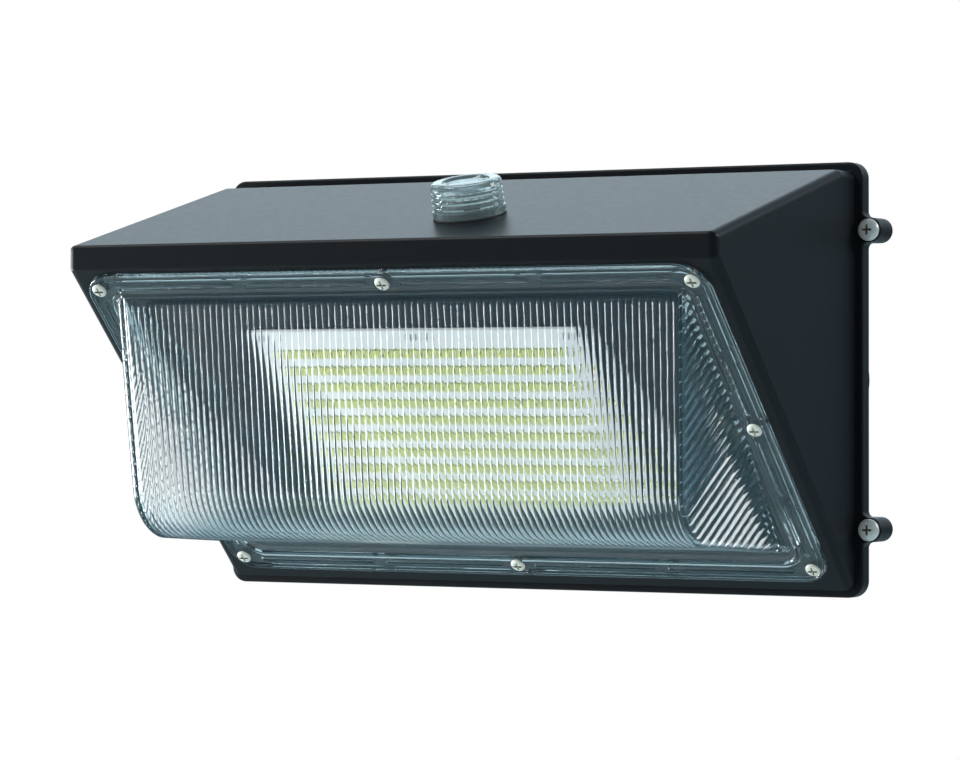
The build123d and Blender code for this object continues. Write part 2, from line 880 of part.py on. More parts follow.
def top_frame():
    """The frame of the sloping top where the photocell stands: z is square to the top."""
    tilt = math.radians(top_angle)
    height = top_height(photocell_out, 0)
    return Plane(
        origin=(photocell_x, -photocell_out, height), x_dir=(1, 0, 0),
        z_dir=(0, -math.sin(tilt), math.cos(tilt)))


def photocell_cap():
    """The clear round cap with its grooves and a sunk window on top."""
    inner = cap_radius - cap_wall
    points = [(inner, 0), (cap_radius, 0)]
    first = (cap_height - cap_top - (cap_groove_count - 1) * cap_groove_pitch) / 2
    for groove in range(cap_groove_count):
        middle = first + groove * cap_groove_pitch
        points += [
            (cap_radius, middle - cap_groove_width / 2),
            (cap_radius - cap_groove_depth, middle),
            (cap_radius, middle + cap_groove_width / 2),
        ]
    shoulder = cap_wall / 2
    points += [
        (cap_radius, cap_height - shoulder),
        (cap_radius - shoulder, cap_height),
        (cap_window_radius, cap_height),
        (cap_window_radius - shoulder, cap_height - cap_window_depth),
        (0, cap_height - cap_window_depth),
        (0, cap_height - cap_top),
        (inner, cap_height - cap_top),
    ]
    cap = revolve(Plane.XZ * make_face(Polyline(points, close=True)), Axis.Z)
    return Pos(0, 0, cap_seal_thickness) * cap


def photocell_seal():
    ring = Circle(cap_radius - thread_fit) - Circle(stem_radius + running_fit)
    return extrude(ring, cap_seal_thickness)


def photocell_body():
    """The sensor's base inside the cap, its stem through the top and its tail below."""
    base_radius = cap_radius - cap_wall - running_fit
    sensor_low = cap_seal_thickness + sensor_base_height
    body = Pos(0, 0, cap_seal_thickness) * extrude(Circle(base_radius), sensor_base_height)
    body += Pos(0, 0, sensor_low) * extrude(Circle(sensor_radius), sensor_height)
    stem_end = cap_seal_thickness - stem_length
    body += Pos(0, 0, stem_end) * extrude(Circle(stem_radius), stem_length)
    body += Pos(0, 0, stem_end - tail_length) * extrude(Circle(tail_radius), tail_length)
    return body


def photocell_nut():
    flats = RegularPolygon(nut_across_flats / 2, 6, major_radius=False)
    nut = flats - Circle(stem_radius + thread_fit)
    return Pos(0, 0, -shell_wall - nut_height) * extrude(nut, nut_height)


# --- wall box --------------------------------------------------------------------------------

def wall_bolt_points():
    return [
        (x * bolt_spacing_x / 2, z * bolt_spacing_z / 2) for x in both_signs() for z in both_signs()
    ]


def entry_frames():
    """Frames of the left, right and bottom conduit entries: z points out of the box."""
    middle = box_depth / 2
    return [
        Plane(origin=(-box_width / 2, -middle, 0), x_dir=(0, 1, 0), z_dir=(-1, 0, 0)),
        Plane(origin=(box_width / 2, -middle, 0), x_dir=(0, 1, 0), z_dir=(1, 0, 0)),
        Plane(origin=(0, -middle, -box_height / 2), x_dir=(1, 0, 0), z_dir=(0, 0, -1)),
    ]


def box_knuckles():
    """The wall box's two hinge knuckles on arms from its left wall."""
    arm = wall_box(
        hinge_x, -box_width / 2 + box_wall / 2, -knuckle_height / 2, knuckle_height / 2,
        hinge_out - knuckle_radius, hinge_out + knuckle_radius)
    barrel = Circle(knuckle_radius)
    barrel = Pos(hinge_x, -hinge_out, -knuckle_height / 2) * extrude(barrel, knuckle_height)
    bore = Pos(hinge_x, -hinge_out, -knuckle_height) * extrude(
        Circle(pin_radius + thread_fit), 2 * knuckle_height)
    web = wall_box(
        -box_flange_width / 2 + box_wall, -box_width / 2 + box_wall / 2,
        -knuckle_height / 2, knuckle_height / 2, hinge_out, box_depth + overcut)
    knuckle = arm + barrel + web - bore
    return [Pos(0, 0, side * hinge_z) * knuckle for side in both_signs()]


def screw_bosses():
    """The two threaded bosses behind the door's lugs, on arms from the box's right wall."""
    far = box_depth - part_gap
    bosses = []
    for side in both_signs():
        z = side * lug_z
        boss = wall_disc(lug_x, z, lug_radius, lug_boss_end, far)
        boss += wall_box(
            box_width / 2 - box_wall / 2, lug_x, z - lug_radius, z + lug_radius, lug_boss_end, far)
        boss += wall_box(
            box_width / 2 - box_wall / 2, box_flange_width / 2 - box_wall,
            z - lug_radius, z + lug_radius, far - overcut, box_depth + overcut)
        boss -= wall_disc(lug_x, z, door_screw[0] + part_gap, lug_boss_end - overcut, box_depth)
        bosses.append(boss)
    return bosses


def rear_housing():
    body = wall_slab(box_width, box_height, box_corner, 0, box_flange_out)
    body += wall_slab(
        box_flange_width, box_flange_height, rim_corner - skirt_wall, box_depth, box_flange_out)
    body -= wall_slab(
        box_width - 2 * box_wall, box_height - 2 * box_wall, box_corner - box_wall,
        box_wall, box_flange_out + overcut)
    for piece in box_knuckles() + screw_bosses():
        body += piece
    body -= box_seal(box_flange_out - box_gasket_groove, box_flange_out + overcut, groove_fit)
    for frame in entry_frames():
        inside = -box_wall - entry_boss_length
        body += frame * Pos(0, 0, inside) * extrude(Circle(entry_boss_radius), entry_pad_height - inside)
        body -= frame * Pos(0, 0, inside - overcut) * extrude(
            Circle(entry_radius), entry_pad_height - inside + 2 * overcut)
    for x, z in wall_bolt_points():
        body += wall_disc(x, z, bolt_pad_radius, box_wall - overcut, box_wall + bolt_pad_height)
        body -= wall_disc(x, z, bolt_hole_radius, -overcut, drill_reach)
    body += wall_disc(0, 0, wire_collar_radius, box_wall - overcut, box_wall + wire_collar_height)
    body -= wall_disc(0, 0, wire_entry_radius, -overcut, drill_reach)
    for side in both_signs():
        slot = SlotOverall(box_slot_length, 2 * box_slot_radius)
        slot = wall_plane(-overcut) * Pos(side * box_slot_spacing / 2, 0) * slot
        body -= extrude(slot, box_wall + 2 * overcut)
    ground_seat = box_wall + ground_boss_height
    body += wall_disc(ground_x, ground_z, ground_boss_radius, box_wall - overcut, ground_seat)
    bore_radius = ground_screw_size[0] + thread_fit
    bore_end = ground_seat - ground_screw_length - thread_fit
    body -= wall_disc(ground_x, ground_z, bore_radius, bore_end, box_depth)
    return body


def box_seal(near, far, extra):
    """The housing gasket's ring between two distances from the wall."""
    width = box_flange_width - 2 * box_gasket_margin + 2 * extra
    height = box_flange_height - 2 * box_gasket_margin + 2 * extra
    corner = rim_corner - skirt_wall
    wall = box_gasket_width + 2 * extra
    inner = RectangleRounded(width - 2 * wall, height - 2 * wall, corner / 2)
    ring = RectangleRounded(width, height, corner) - inner
    return extrude(wall_plane(near) * ring, far - near)


def housing_gasket():
    return box_seal(box_flange_out - box_gasket_groove, seal_out, 0)


def hinge_pins():
    """Headed pins through the knuckles."""
    length = knuckle_height + 2 * (part_gap + door_knuckle_height)
    pins = []
    for side in both_signs():
        low = side * hinge_z - length / 2
        pin = Pos(hinge_x, -hinge_out, low - overcut) * extrude(Circle(pin_radius), length + 2 * overcut)
        head_low = side * hinge_z + length / 2 + part_gap
        pin += Pos(hinge_x, -hinge_out, head_low) * extrude(Circle(pin_head_radius), pin_head_height)
        pins.append(pin)
    return pins


def conduit_plugs():
    """Closing plugs with a driver slot across the head."""
    seat = entry_pad_height + ring_height
    plug = Pos(0, 0, seat - plug_length) * extrude(Circle(entry_radius - thread_fit), plug_length)
    plug += Pos(0, 0, seat) * extrude(Circle(plug_head_radius), plug_head_height)
    plug -= Pos(0, 0, seat + plug_head_height - plug_slot_depth) * extrude(
        Rectangle(2 * entry_radius, plug_slot_width), plug_slot_depth + overcut)
    return [frame * plug for frame in entry_frames()]


def conduit_rings():
    ring = Circle(ring_radius) - Circle(entry_radius + thread_fit)
    ring = Pos(0, 0, entry_pad_height) * extrude(ring, ring_height)
    return [frame * ring for frame in entry_frames()]


def ground_screw():
    screw = pan_screw(ground_screw_size, ground_screw_length)
    return wall_plane(box_wall + ground_boss_height) * Pos(ground_x, ground_z) * screw


def door_screw_piece(side):
    """A captive door screw, its head on the lug."""
    length = rim_depth + part_gap + door_screw_engagement
    return wall_plane(rim_front) * Pos(lug_x, side * lug_z) * pan_screw(door_screw, length)


def place(solids):
    return Compound(children=[bezel * piece for piece in solids])


def save(name, shape):
    export_step(shape, os.path.join("parts", name + ".step"))


def main():
    os.makedirs("parts", exist_ok=True)
    save("front_housing", front_housing())
    save("lens", bezel * lens())
    save("lens_gasket", bezel * lens_gasket())
    save("lens_screws", place(lens_screws()))
    save("led_board", bezel * led_board())
    save("thermal_pad", bezel * thermal_pad())
    save("led_packages", place(led_packages()))
    save("board_screws", place(board_screws()))
    save("driver_case", bezel * driver_case())
    save("driver_end_caps", place([driver_end_cap(side) for side in both_signs()]))
    save("driver_screws", place(driver_screws()))
    save("terminal_block", bezel * terminal_block())
    save("lead_grommet", bezel * lead_grommet())
    save("photocell_cap", top_frame() * photocell_cap())
    save("photocell_seal", top_frame() * photocell_seal())
    save("photocell_body", top_frame() * photocell_body())
    save("photocell_nut", top_frame() * photocell_nut())
    save("rear_housing", rear_housing())
    save("housing_gasket", housing_gasket())
    save("hinge_pins", Compound(children=hinge_pins()))
    save("conduit_plugs", Compound(children=conduit_plugs()))
    save("conduit_rings", Compound(children=conduit_rings()))
    save("ground_screw", ground_screw())
    save("door_screw_lower", door_screw_piece(-1))
    save("door_screw_upper", door_screw_piece(1))


main()
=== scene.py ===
import json
import math

import bmesh
import bpy
from mathutils import Matrix, Vector


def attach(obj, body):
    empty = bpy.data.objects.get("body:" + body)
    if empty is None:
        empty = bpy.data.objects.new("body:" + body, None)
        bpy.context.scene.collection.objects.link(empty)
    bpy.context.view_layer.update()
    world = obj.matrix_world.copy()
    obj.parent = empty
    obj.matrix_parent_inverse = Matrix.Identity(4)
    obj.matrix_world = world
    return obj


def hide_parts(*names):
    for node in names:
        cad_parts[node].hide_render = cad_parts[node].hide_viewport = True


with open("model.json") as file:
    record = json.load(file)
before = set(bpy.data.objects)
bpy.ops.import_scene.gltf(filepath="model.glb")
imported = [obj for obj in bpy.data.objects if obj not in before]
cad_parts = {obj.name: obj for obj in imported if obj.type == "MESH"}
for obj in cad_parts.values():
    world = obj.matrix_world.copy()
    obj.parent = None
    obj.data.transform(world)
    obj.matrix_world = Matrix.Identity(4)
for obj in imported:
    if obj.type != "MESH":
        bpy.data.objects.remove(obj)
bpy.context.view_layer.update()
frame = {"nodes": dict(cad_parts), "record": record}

MM = 0.001

# The slanted bezel's own frame: x right, y up the slope, z outwards.
# Its origin is in the middle of the lens flange.
BEZEL_TILT = math.radians(44.157)
BEZEL_OUT = 115.83
BEZEL_HEIGHT = -21.98

# Lens flange, in millimetres in the bezel's frame.
FLANGE_WIDTH = 338.1
FLANGE_HEIGHT = 205.5
FLANGE_CORNER = 14.25
FLANGE_LOW = -2.0
FLANGE_TOP = 2.0

# Lens dome.
DOME_TOP = 87.9
DOME_BOTTOM = -82.5
DOME_HALF_WIDTH = 154.5
DOME_FRONT_LEAN = math.radians(39.0)
DOME_FLOOR_LEAN = math.radians(42.4)
DOME_DRAFT = math.radians(3.5)
DOME_NOSE_RADIUS = 27.0
DOME_EDGE_RADIUS = 3.8
DOME_WALL = 2.5
DOME_SINK = 1.0

RIB_COUNT = 86
RIB_PITCH = 3.525
RIB_SHIFT = 0.5
RIB_WIDTH = 1.3
RIB_HEIGHT = 0.38
RIB_REACH = 151.0
RIB_START = 5.0
RIB_RAMP = 0.5
NOSE_STEPS = 28
EDGE_STEPS = 8
STRAIGHT_STEPS = 30

SIDE_RIB_PITCH = 4.9
SIDE_RIB_WIDTH = 4.4
SIDE_RIB_HEIGHT = 1.1
SIDE_RIB_LEAN = math.radians(8.4)
SIDE_RIB_ROOT = 2.0
SIDE_RIB_STEPS = 10

# Pockets of the flange and the blocks on its outer bead.
POCKET_MARGIN = 7.4
POCKET_WIDTH = 3.2
POCKET_DEPTH = 1.0
POCKET_WEB = 12.0
POCKETS_PER_HALF = 2
POCKET_EDGE = 0.38
TAB_SPACING = 11.0
TAB_SIZE = (4.0, 2.4)
TAB_INSET = 1.7

# Light engine, in the bezel's frame.
BOARD_FACE = -0.4
LED_ROWS = 10
LED_COLUMNS = 28
LED_ROW_PITCH = 11.14
LED_COLUMN_PITCH = 5.6
LED_DROP = 2.0
LED_BODY_SIZE = (2.9, 5.5, 0.3)
LED_RESIN_SIZE = (2.5, 5.1, 0.7)

# Photocell cap, on the sloping top.
CAP_PLACE = (22.0, -139.0, 78.44)
CAP_TILT = math.radians(14.105)
CAP_SEAT = 0.8
CAP_FLUTES = 26

# Screws: shank radius, head radius, head height, shank length, recess span and recess arm width.
# Then where the lens screws sit in the bezel's frame, and the radii of their holes and seats.
LENS_SCREW = (2.0, 3.75, 1.7, 11.0, 6.6, 1.35)
DOOR_SCREW = (2.5, 5.35, 3.3, 12.9, 5.4, 1.3)
LENS_SCREW_SIDE = 161.6
LENS_SCREW_CORNER = 94.1
LENS_SCREW_MIDDLE = 95.6
LENS_SCREW_HOLE = 2.2
LENS_SCREW_SEAT = 4.1
THREAD_PITCH = 0.8
LUG_X = 183.45
LUG_Z = 72.1
RIM_FRONT = 35.0

# Studio light: the world's fill, and what glossy surfaces mirror: a pale backdrop in a dim room.
FILL = (0.62, 0.635, 0.65)
BACKDROP = (0.7, 0.88, 1.0)
ROOM = (0.07, 0.13, 0.17)
BACKDROP_WAY = (-0.25, 0.91, 0.32)
BACKDROP_EDGE = 0.74
BACKDROP_FULL = 0.98
FLOOR_HALF = 1.6
FLOOR_LEVEL = -0.5

# Lamps: place, size, power in watts and colour. They face a point in the wall pack's middle.
LAMP_TARGET = (0, -0.08, 0)
LAMPS = {
    "key": ((-0.9, -1.35, 1.25), (1.1, 0.25), 11, (1, 1, 1)),
    "left": ((-1.8, -0.34, -0.2), (0.9, 0.62), 37, (1, 1, 1)),
    "side": ((1.6, 0.83, 0.97), (0.6, 0.6), 12, (1, 1, 1)),
    "back": ((-1.3, 2.0, 1.15), (1.6, 1.6), 9, (0.78, 0.92, 1.0)),
    "top": ((-0.8, -0.45, 1.5), (1.3, 1.3), 8, (1, 1, 1)),
}

# Camera at the photograph's viewing angle.
CAMERA_PLACE = (0.9324, -1.7553, -0.0086)
CAMERA_TURN = (90.262, 0, 29.242)
CAMERA_LENS = 145.8


def tilted_frame(origin, tilt):
    """From a tilted frame's millimetres to metres. x stays, z leans forward from straight up."""
    place = Matrix.Translation(Vector(origin))
    return Matrix.Scale(MM, 4) @ place @ Matrix.Rotation(tilt, 4, "X")


BEZEL = tilted_frame((0, -BEZEL_OUT, BEZEL_HEIGHT), math.pi / 2 + BEZEL_TILT)
CAP_FRAME = tilted_frame(CAP_PLACE, CAP_TILT)


# ---------------------------------------------------------------- mesh helpers

def mesh_object(name, points, faces, matrix=None):
    """A closed mesh object from points and faces, its place baked into its vertices."""
    mesh = bpy.data.meshes.new(name)
    mesh.from_pydata([tuple(p) for p in points], [], faces)
    build = bmesh.new()
    build.from_mesh(mesh)
    bmesh.ops.remove_doubles(build, verts=build.verts, dist=1e-4)
    bmesh.ops.dissolve_degenerate(build, edges=build.edges, dist=1e-5)
    bmesh.ops.recalc_face_normals(build, faces=build.faces)
    build.to_mesh(mesh)
    build.free()
    if matrix is not None:
        mesh.transform(matrix)
    piece = bpy.data.objects.new(name, mesh)
    bpy.context.scene.collection.objects.link(piece)
    return piece


def joined(parts):
    """Several (points, faces) solids as one set of points and faces."""
    points, faces = [], []
    for part_points, part_faces in parts:
        base = len(points)
        points += part_points
        faces += [[base + i for i in face] for face in part_faces]
    return points, faces


def combine(target, tool, operation):
    """Applies one boolean step to target and deletes the tool."""
    step = target.modifiers.new("step", "BOOLEAN")
    step.object = tool
    step.operation = operation
    step.solver = "MANIFOLD"
    bpy.context.view_layer.update()
    result = bpy.data.meshes.new_from_object(
        target.evaluated_get(bpy.context.evaluated_depsgraph_get()))
    target.modifiers.clear()
    target.data = result
    bpy.data.objects.remove(tool)


def smooth(piece, angle):
    """Smooth shading, with edges sharper than the angle kept crisp."""
    mesh = piece.data
    mesh.polygons.foreach_set("use_smooth", [True] * len(mesh.polygons))
    mesh.set_sharp_from_angle(angle=math.radians(angle))


def rounded_loop(width, height, corner, inset, steps):
    """Points of a rounded rectangle, let in by an inset, counter-clockwise."""
    radius = max(corner - inset, 0.05)
    half_x = width / 2 - inset - radius
    half_y = height / 2 - inset - radius
    points = []
    for quarter, (sx, sy) in enumerate(((1, 1), (-1, 1), (-1, -1), (1, -1))):
        for step in range(steps + 1):
            angle = (quarter + step / steps) * math.pi / 2
            points.append((sx * half_x + radius * math.cos(angle),
                           sy * half_y + radius * math.sin(angle)))
    return points


def loop_solid(width, height, corner, profile, closed, steps=10, middle=(0, 0)):
    """A solid from rounded loops at (inset, height) pairs: a ring, or a slab with its caps."""
    points, faces = [], []
    count = 4 * (steps + 1)
    for inset, z in profile:
        loop = rounded_loop(width, height, corner, inset, steps)
        points += [(middle[0] + x, middle[1] + y, z) for x, y in loop]
    rows = len(profile)
    for row in range(rows if closed else rows - 1):
        nxt = (row + 1) % rows
        for i in range(count):
            j = (i + 1) % count
            faces.append([row * count + i, row * count + j, nxt * count + j, nxt * count + i])
    if not closed:
        faces.append(list(range(count))[::-1])
        faces.append([(rows - 1) * count + i for i in range(count)])
    return points, faces


def bead_profile(margin, width, high):
    """A bead's section as (inset, height): steep flanks under a crowned top."""
    half, rise = width / 2, high - FLANGE_TOP
    side = [(half, -1.0), (half, 0.0), (0.45 * half, 0.86 * rise), (0.22 * half, 0.97 * rise)]
    return ([(margin - x, FLANGE_TOP + z) for x, z in side] + [(margin, high)]
            + [(margin + x, FLANGE_TOP + z) for x, z in side[::-1]])


def slot_solid(length, width, low, high, middle, upright, floor_round=0.5, steps=8):
    """A slot cutter with rounded ends and a rounded floor."""
    points, faces = [], []
    radius = width / 2
    straight = length / 2 - radius
    levels = [(floor_round, low), (0.3 * floor_round, low + 0.3 * floor_round),
              (0.0, low + floor_round), (0.0, high)]
    count = 2 * (steps + 1)
    for inset, z in levels:
        r = radius - inset
        for side, start in ((1, -math.pi / 2), (-1, math.pi / 2)):
            for step in range(steps + 1):
                angle = start + math.pi * step / steps
                x, y = side * straight + r * math.cos(angle), r * math.sin(angle)
                if upright:
                    x, y = -y, x
                points.append((middle[0] + x, middle[1] + y, z))
    for row in range(len(levels) - 1):
        for i in range(count):
            j = (i + 1) % count
            faces.append([row * count + i, row * count + j,
                          (row + 1) * count + j, (row + 1) * count + i])
    faces.append(list(range(count))[::-1])
    faces.append([(len(levels) - 1) * count + i for i in range(count)])
    return points, faces


def slot_ring(length, width, radius, middle, upright, steps=8, sides=6):
    """A round bead along the edge of a slot with rounded ends."""
    points, faces = [], []
    end = width / 2
    straight = length / 2 - end
    for side, start in ((1, -math.pi / 2), (-1, math.pi / 2)):
        for step in range(steps + 1):
            angle = start + math.pi * step / steps
            out = (math.cos(angle), math.sin(angle))
            for turn in range(sides):
                around = 2 * math.pi * (turn + 0.5) / sides
                reach = end + radius * math.cos(around)
                x, y = side * straight + reach * out[0], reach * out[1]
                if upright:
                    x, y = -y, x
                points.append((middle[0] + x, middle[1] + y,
                               FLANGE_TOP + radius * math.sin(around)))
    count = 2 * (steps + 1)
    for i in range(count):
        j = (i + 1) % count
        for turn in range(sides):
            nxt = (turn + 1) % sides
            faces.append([i * sides + turn, j * sides + turn, j * sides + nxt, i * sides + nxt])
    return points, faces


def revolved(profile, steps=64, flutes=0, flute_depth=None):
    """A solid of revolution from a profile that starts and ends on the axis, fluted where asked."""
    points, rings = [], []
    for index, (radius, z) in enumerate(profile):
        if radius == 0:
            rings.append([len(points)])
            points.append((0, 0, z))
            continue
        deep = flute_depth[index] if flute_depth else 0
        ring = []
        for step in range(steps):
            angle = 2 * math.pi * step / steps
            wave = max(0.0, math.cos(flutes * angle)) ** 4 if deep else 0
            r = radius - deep * wave
            ring.append(len(points))
            points.append((r * math.cos(angle), r * math.sin(angle), z))
        rings.append(ring)
    faces = []
    for a, b in zip(rings, rings[1:]):
        for i in range(steps):
            j = (i + 1) % steps
            if len(a) == 1:
                faces.append([a[0], b[i], b[j]])
            elif len(b) == 1:
                faces.append([a[i], a[j], b[0]])
            else:
                faces.append([a[i], a[j], b[j], b[i]])
    return points, faces


def disc_solid(middle, radius, low, high, steps=32):
    """A short upright cylinder."""
    points, faces = [], []
    for z in (low, high):
        for step in range(steps):
            angle = 2 * math.pi * step / steps
            points.append((middle[0] + radius * math.cos(angle),
                           middle[1] + radius * math.sin(angle), z))
    for i in range(steps):
        j = (i + 1) % steps
        faces.append([i, j, steps + j, steps + i])
    faces.append(list(range(steps))[::-1])
    faces.append([steps + i for i in range(steps)])
    return points, faces


# ---------------------------------------------------------------- lens

def dome_path(inset, sink):
    """The dome's side view from its top foot to its bottom foot, and its length.

    Each station is a point, its outward normal and the distance along.
    """
    front, floor = DOME_FRONT_LEAN, DOME_FLOOR_LEAN
    top = DOME_TOP - inset / math.sin(front)
    bottom = DOME_BOTTOM + inset / math.sin(floor)
    rise = (top - bottom) * math.sin(front) * math.sin(floor) / math.sin(front + floor)
    nose = Vector((top - rise / math.tan(front), FLANGE_TOP + rise))
    radius = DOME_NOSE_RADIUS - inset
    tangent = radius * math.tan((front + floor) / 2)
    down_front = Vector((-math.cos(front), math.sin(front)))
    down_floor = Vector((-math.cos(floor), -math.sin(floor)))
    normal_front = Vector((math.sin(front), math.cos(front)))
    normal_floor = Vector((-math.sin(floor), math.cos(floor)))
    foot_top = Vector((top, FLANGE_TOP)) - down_front * (sink / math.sin(front))
    foot_bottom = Vector((bottom, FLANGE_TOP)) + down_floor * (sink / math.sin(floor))
    arc_start = nose - down_front * tangent
    arc_end = nose + down_floor * tangent
    centre = arc_start - normal_front * radius
    stations = []
    length = (arc_start - foot_top).length
    full = RIB_START + RIB_RAMP
    ends = [0.0, RIB_START, full]
    ends += [full + (length - full) * (i + 1) / STRAIGHT_STEPS for i in range(STRAIGHT_STEPS - 1)]
    for s in ends:
        stations.append((foot_top + down_front * s, normal_front, s))
    turn = front + floor
    for step in range(NOSE_STEPS + 1):
        angle = turn * step / NOSE_STEPS
        normal = Vector((math.sin(front - angle), math.cos(front - angle)))
        stations.append((centre + normal * radius, normal, length + radius * angle))
    after = length + radius * turn
    rear = (foot_bottom - arc_end).length
    stop = rear - RIB_START - RIB_RAMP
    begins = [stop * (i + 1) / STRAIGHT_STEPS for i in range(STRAIGHT_STEPS)]
    begins += [stop + RIB_RAMP, rear]
    for s in begins:
        stations.append((arc_end + down_floor * s, normal_floor, after + s))
    return stations, after + rear


def rib_columns(with_ribs):
    """Places across the front and the height of the ribs there, as (x, height) pairs."""
    if not with_ribs:
        return [(x, 0.0) for x in (-DOME_HALF_WIDTH, -100, -50, 0, 50, 100, DOME_HALF_WIDTH)]
    shape = [(-0.5, 0.0), (-0.42, 0.12), (-0.12, 0.87), (0.0, 1.0),
             (0.12, 0.87), (0.42, 0.12), (0.5, 0.0)]
    columns = []
    for rib in range(RIB_COUNT):
        middle = (rib - (RIB_COUNT - 1) / 2) * RIB_PITCH + RIB_SHIFT
        columns += [(middle + across * RIB_WIDTH, up * RIB_HEIGHT) for across, up in shape]
    return [(-DOME_HALF_WIDTH, 0.0)] + columns + [(DOME_HALF_WIDTH, 0.0)]


def dome(inset, sink, with_ribs):
    """The dome as a closed solid: ribbed front and nose, round edges and drafted sides."""
    stations, total = dome_path(inset, sink)
    columns = rib_columns(with_ribs)
    radius = DOME_EDGE_RADIUS - inset
    side = Vector((math.cos(DOME_DRAFT), 0, math.sin(DOME_DRAFT)))
    points, rows = [], []
    for index, (place, normal2, s) in enumerate(stations):
        normal = Vector((0, normal2.x, normal2.y))
        on_path = Vector((0, place.x, place.y))
        centre = on_path - normal * radius
        limit = (DOME_HALF_WIDTH - inset - (centre.z - FLANGE_TOP) * math.tan(DOME_DRAFT)
                 - radius / math.cos(DOME_DRAFT))
        row = [edge_point(centre, normal, side, limit, radius, step, -1)
               for step in range(EDGE_STEPS, 0, -1)]
        ribbed = (RIB_START < s < total - RIB_START - RIB_RAMP / 2 + 1e-6
                  and 2 <= index <= len(stations) - 3)
        for x, height in columns:
            let_in = max(0.0, RIB_REACH - limit) * min(1.0, abs(x) / RIB_REACH) ** 6
            moved = x - math.copysign(let_in, x)
            clamped = max(-limit, min(limit, moved))
            up = height if ribbed and abs(moved) <= limit else 0.0
            row.append(on_path + Vector((clamped, 0, 0)) + normal * up)
        row += [edge_point(centre, normal, side, limit, radius, step, 1)
                for step in range(1, EDGE_STEPS + 1)]
        rows.append(range(len(points), len(points) + len(row)))
        points += row
    faces = []
    for a, b in zip(rows, rows[1:]):
        for i in range(len(a) - 1):
            faces.append([a[i], a[i + 1], b[i + 1], b[i]])
    faces.append([row[0] for row in rows])
    faces.append([row[-1] for row in rows][::-1])
    faces.append(list(rows[0])[::-1])
    faces.append(list(rows[-1]))
    faces.append([rows[0][0], rows[0][-1], rows[-1][-1], rows[-1][0]])
    return points, faces


def edge_point(centre, normal, side, limit, radius, step, sign):
    """A point of the rounded edge between the front and a side wall."""
    m = Vector((sign * side.x, 0, side.z))
    angle = math.acos(max(-1, min(1, normal.dot(m))))
    t = step / EDGE_STEPS
    direction = (normal * math.sin((1 - t) * angle) + m * math.sin(t * angle)) / math.sin(angle)
    return centre + Vector((sign * limit, 0, 0)) + direction * radius


def lens_screw_places():
    """The eight lens screws in the bezel's frame: four corners, two sides, bottom and top."""
    side, middle = LENS_SCREW_SIDE, LENS_SCREW_MIDDLE
    places = [(x * side, y * LENS_SCREW_CORNER) for x in (-1, 1) for y in (-1, 1)]
    return places + [(-side, 0), (side, 0), (0, -middle), (0, middle)]


def clipped_side_ribs(side):
    """The slanted ribs on one side wall, clipped to a slightly larger dome."""
    wall_normal = Vector((side * math.cos(DOME_DRAFT), 0, math.sin(DOME_DRAFT)))
    rise = Vector((0, math.sin(SIDE_RIB_LEAN), math.cos(SIDE_RIB_LEAN)))
    along = (rise - wall_normal * rise.dot(wall_normal)).normalized()
    across = wall_normal.cross(along)
    foot = Vector((side * DOME_HALF_WIDTH, 0, FLANGE_TOP))
    reach = FLANGE_HEIGHT / 2
    count = int(reach / SIDE_RIB_PITCH)
    waves = [step / SIDE_RIB_STEPS for step in range(SIDE_RIB_STEPS + 1)]
    shape = [(-0.5, None)] + [(t - 0.5, math.sin(math.pi * t)) for t in waves] + [(0.5, None)]
    parts = []
    for step in range(-count, count + 1):
        base = foot + across * (step * SIDE_RIB_PITCH)
        points = []
        for end in (-1.0, reach):
            for w, up in shape:
                lift = -SIDE_RIB_ROOT if up is None else up * SIDE_RIB_HEIGHT
                points.append(base + along * end + across * (w * SIDE_RIB_WIDTH)
                              + wall_normal * lift)
        n = len(shape)
        faces = [[i, (i + 1) % n, n + (i + 1) % n, n + i] for i in range(n)]
        faces += [list(range(n))[::-1], [n + i for i in range(n)]]
        parts.append((points, faces))
    ribs = mesh_object("side_ribs", *joined(parts))
    combine(ribs, mesh_object("side_keep", *dome(-SIDE_RIB_HEIGHT, DOME_SINK, False)), "INTERSECT")
    return ribs


def pocket_places():
    """Each pocket's length, middle and direction, and the webs between the pockets."""
    slots, webs = [], []
    for half, across, upright in (
            (FLANGE_WIDTH / 2, FLANGE_HEIGHT / 2, False),
            (FLANGE_HEIGHT / 2, FLANGE_WIDTH / 2, True)):
        run = half - POCKET_MARGIN - FLANGE_CORNER / 2 - POCKET_WEB / 2
        length = run / POCKETS_PER_HALF - POCKET_WEB / 2
        for edge in (-1, 1):
            for along in (-POCKET_WEB / 2 - run / 2, 0, POCKET_WEB / 2 + run / 2):
                webs.append((along, edge * across, edge, upright))
            for sign in (-1, 1):
                for number in range(POCKETS_PER_HALF):
                    along = sign * (POCKET_WEB / 2 + (number + 0.5) * run / POCKETS_PER_HALF)
                    place = (along, edge * (across - POCKET_MARGIN))
                    slots.append((length, place[::-1] if upright else place, upright))
    return slots, webs


def tabs(webs):
    """Pairs of small blocks on the outer bead, beside each web."""
    block = [(0.15, FLANGE_TOP - 1), (0.15, FLANGE_TOP + 0.75), (0.3, FLANGE_TOP + 0.9)]
    parts = []
    for along, across, edge, upright in webs:
        for step in (-0.5, 0.5):
            place = (along + step * TAB_SPACING, across - edge * TAB_INSET)
            size = TAB_SIZE
            if upright:
                place, size = place[::-1], size[::-1]
            parts.append(loop_solid(*size, 0.5, block, False, steps=3, middle=place))
    return parts


